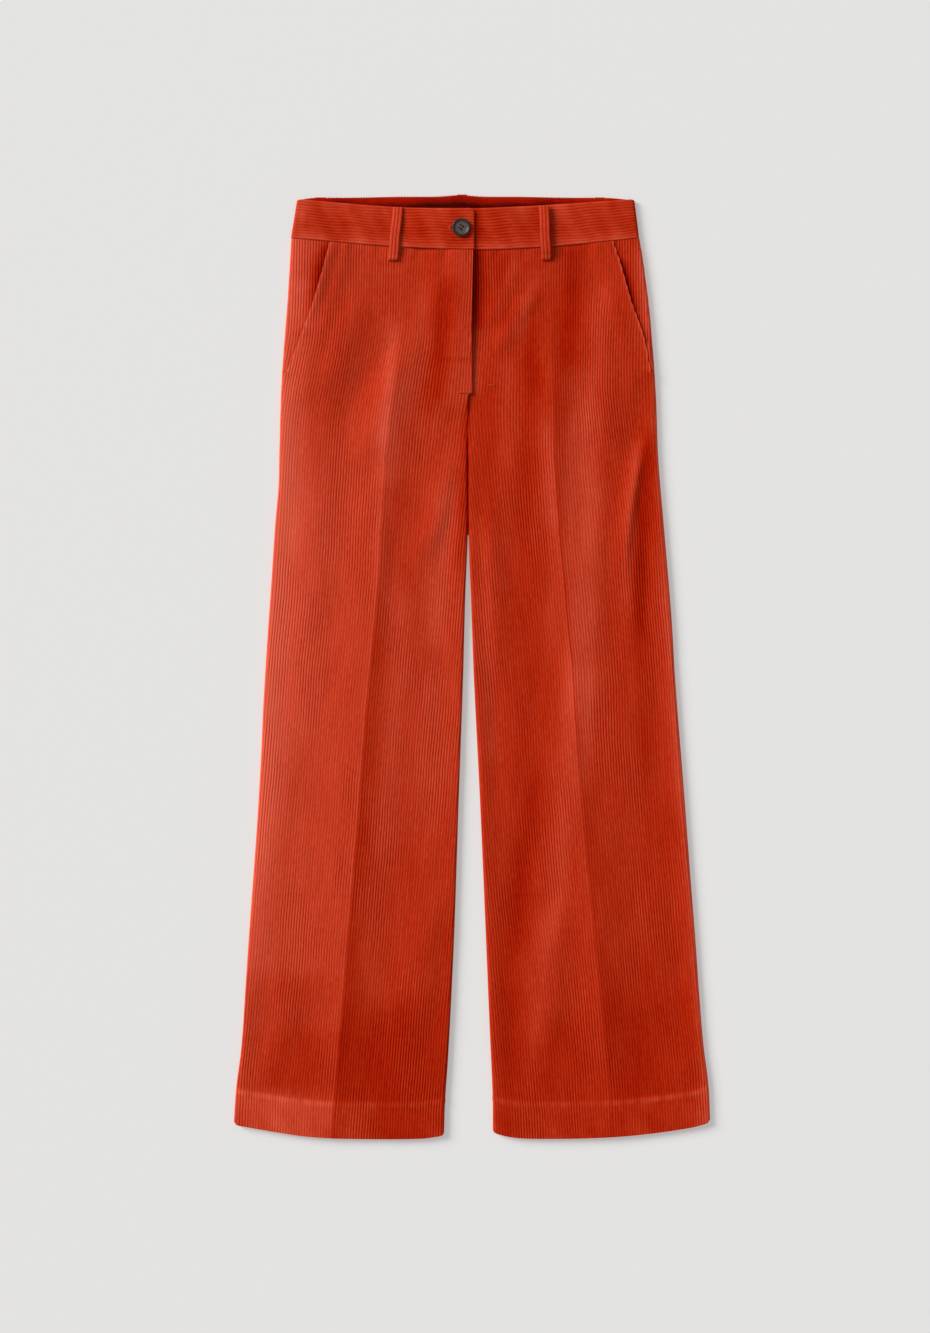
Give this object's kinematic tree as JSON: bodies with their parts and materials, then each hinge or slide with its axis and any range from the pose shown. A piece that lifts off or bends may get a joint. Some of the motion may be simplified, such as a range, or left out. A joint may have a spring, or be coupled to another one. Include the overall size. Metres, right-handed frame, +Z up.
{
  "type": "corduroy trousers",
  "caption": "High-waisted wide-leg corduroy trousers laid flat, with pressed creases, slant pockets, a buttoned waistband with belt loops and a lapped fly.",
  "frame": {"origin": "bottom centre of the box round the laid garment, on the table that it lies on", "axes": "+X across the garment to the wearer's left leg, +Y from the hems up to the waist, +Z up from the table, out of the garment's front"},
  "size_m": [0.5339, 1.0587, 0.0134],
  "materials": {
    "corduroy": "ribbed pile, matt with a soft nap",
    "horn": "dull polished horn"
  },
  "bodies": {
    "root": {"front_leg_left": "corduroy", "front_leg_right": "corduroy", "back_leg_left": "corduroy", "back_leg_right": "corduroy", "pocket_facing_left": "corduroy", "pocket_facing_right": "corduroy", "waistband_front_left": "corduroy", "waistband_front_right": "corduroy", "waistband_back": "corduroy", "fly_facing": "corduroy", "belt_loop_front_left": "corduroy", "belt_loop_front_right": "corduroy", "belt_loop_back_left": "corduroy", "belt_loop_back_centre": "corduroy", "belt_loop_back_right": "corduroy", "button": "horn"}
  },
  "joints": []
}
